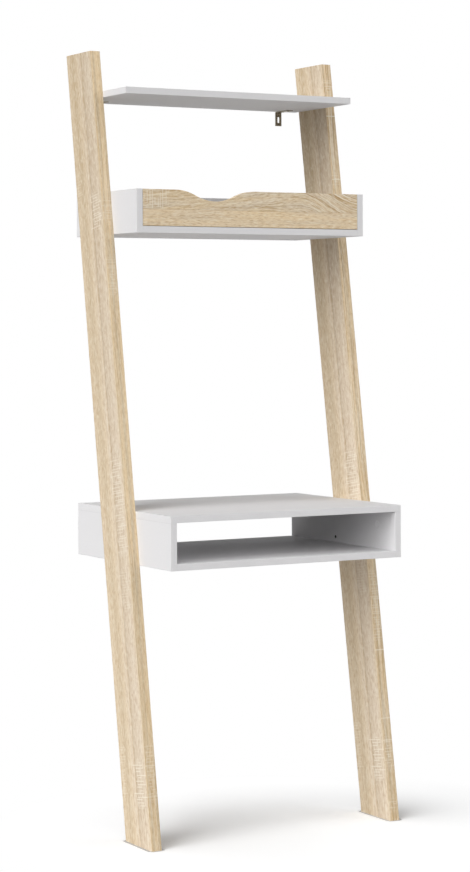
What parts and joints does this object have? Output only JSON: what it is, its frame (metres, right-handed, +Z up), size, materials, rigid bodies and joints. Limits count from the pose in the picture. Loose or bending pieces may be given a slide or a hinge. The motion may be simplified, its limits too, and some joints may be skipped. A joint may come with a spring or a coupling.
{
  "type": "ladder desk",
  "caption": "Leaning ladder desk: sloping oak-look legs held to the wall at the top carry a white desk with an open compartment, a shallow drawer case with a scooped drawer front and a shelf.",
  "frame": {"origin": "bottom centre of the whole desk: on the floor, midway between the legs and midway between the wall plane and the desk's front edge", "axes": "+Z up, +X to the right seen from the front, +Y towards the wall; the wall plane is Y = +0.233 m"},
  "size_m": [0.65, 0.466, 1.788],
  "materials": {
    "oak_foil": "sawn oak decor foil on particleboard, satin",
    "white_melamine": "white melamine faced particleboard, satin",
    "hardboard": "white lacquered hardboard",
    "zinc_steel": "zinc plated",
    "runner_enamel": "white enamel on steel sheet",
    "nylon": "moulded",
    "cam_zinc": "die-cast zinc",
    "bolt_steel": "zinc plated",
    "cap_plastic": "moulded",
    "beech": "turned",
    "black_steel": "black phosphated steel"
  },
  "bodies": {
    "frame": {"left_leg": "oak_foil", "right_leg": "oak_foil", "top_shelf": "white_melamine", "desk_top": "white_melamine", "desk_left_side": "white_melamine", "desk_right_side": "white_melamine", "desk_bottom": "white_melamine", "case_left_side": "white_melamine", "case_right_side": "white_melamine", "case_bottom": "white_melamine", "case_back": "white_melamine", "left_wall_bracket": "zinc_steel", "right_wall_bracket": "zinc_steel", "case_runner_screws": "zinc_steel", "bracket_screws": "zinc_steel", "front_roller_pins": "zinc_steel", "left_case_runner": "runner_enamel", "right_case_runner": "runner_enamel", "shelf_cams": "cam_zinc", "desk_cams": "cam_zinc", "case_cams": "cam_zinc", "shelf_cam_bolts": "bolt_steel", "desk_cam_bolts": "bolt_steel", "case_cam_bolts": "bolt_steel", "desk_cam_caps": "cap_plastic", "shelf_dowels": "beech", "desk_dowels": "beech", "desk_leg_dowels": "beech", "case_dowels": "beech", "case_leg_dowels": "beech", "desk_leg_screws": "black_steel", "case_leg_screws": "black_steel"},
    "drawer": {"drawer_front": "oak_foil", "drawer_left_side": "white_melamine", "drawer_right_side": "white_melamine", "drawer_back": "white_melamine", "drawer_bottom": "hardboard", "left_drawer_runner": "runner_enamel", "right_drawer_runner": "runner_enamel", "drawer_cams": "cam_zinc", "drawer_cam_bolts": "bolt_steel", "drawer_dowels": "beech", "drawer_back_screws": "black_steel", "drawer_runner_screws": "zinc_steel", "rear_roller_pins": "zinc_steel"},
    "left_front_roller": {"left_front_roller": "nylon"},
    "right_front_roller": {"right_front_roller": "nylon"},
    "left_rear_roller": {"left_rear_roller": "nylon"},
    "right_rear_roller": {"right_rear_roller": "nylon"}
  },
  "joints": [
    {"name": "drawer_slide", "type": "slide", "parent": "frame", "child": "drawer", "axis": [0, -1, 0], "range_m": [0, 0.19]},
    {"name": "left_front_roller_spin", "type": "hinge", "parent": "frame", "child": "left_front_roller", "pos_m": [-0.28015, -0.048, 1.3947], "axis": [1, 0, 0], "range_deg": [0, 1281]},
    {"name": "right_front_roller_spin", "type": "hinge", "parent": "frame", "child": "right_front_roller", "pos_m": [0.28015, -0.048, 1.3947], "axis": [1, 0, 0], "range_deg": [0, 1281]},
    {"name": "left_rear_roller_spin", "type": "hinge", "parent": "drawer", "child": "left_rear_roller", "pos_m": [-0.27735, 0.176, 1.3945], "axis": [1, 0, 0], "range_deg": [0, 1281]},
    {"name": "right_rear_roller_spin", "type": "hinge", "parent": "drawer", "child": "right_rear_roller", "pos_m": [0.27735, 0.176, 1.3945], "axis": [1, 0, 0], "range_deg": [0, 1281]}
  ],
  "couplings": [
    {"joint": "left_front_roller_spin", "follows": "drawer_slide", "rad_per_m": 117.65},
    {"joint": "right_front_roller_spin", "follows": "drawer_slide", "rad_per_m": 117.65},
    {"joint": "left_rear_roller_spin", "follows": "drawer_slide", "rad_per_m": 117.65},
    {"joint": "right_rear_roller_spin", "follows": "drawer_slide", "rad_per_m": 117.65}
  ]
}
